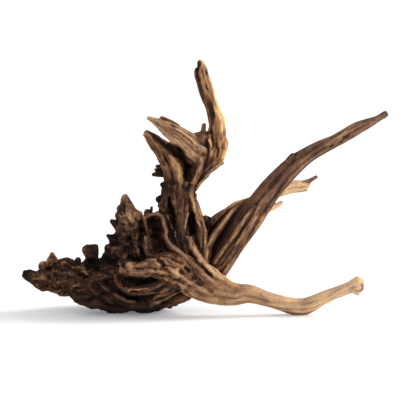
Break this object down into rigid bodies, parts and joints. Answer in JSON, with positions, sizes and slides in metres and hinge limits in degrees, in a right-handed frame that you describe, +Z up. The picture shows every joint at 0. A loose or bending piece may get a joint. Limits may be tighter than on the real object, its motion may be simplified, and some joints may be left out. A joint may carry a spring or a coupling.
{
  "type": "driftwood",
  "caption": "Branching driftwood root: knobby burl, fluted trunk with broken prongs, long arms and a rear branch. Stands on its own feet as tank or shelf decoration.",
  "frame": {"origin": "middle of the bounding box in x and y, on the plane that the feet stand on", "axes": "+X right along the longest reach, towards the tips of the two arms; +Y away from the front; +Z up"},
  "size_m": [0.3664, 0.1164, 0.2509],
  "materials": {
    "burl_wood": "matt, dark, pitted and water worn",
    "trunk_wood": "matt, grooved along the grain",
    "arm_wood": "matt, dry, fine lengthwise grain",
    "pale_wood": "matt, bare and bleached"
  },
  "bodies": {
    "root": {"root_crown": "burl_wood", "snout_root": "burl_wood", "trunk_head": "trunk_wood", "upright_branch": "pale_wood", "pointed_prong": "trunk_wood", "upper_arm": "arm_wood", "lower_arm": "arm_wood", "rear_branch": "pale_wood"}
  },
  "joints": []
}
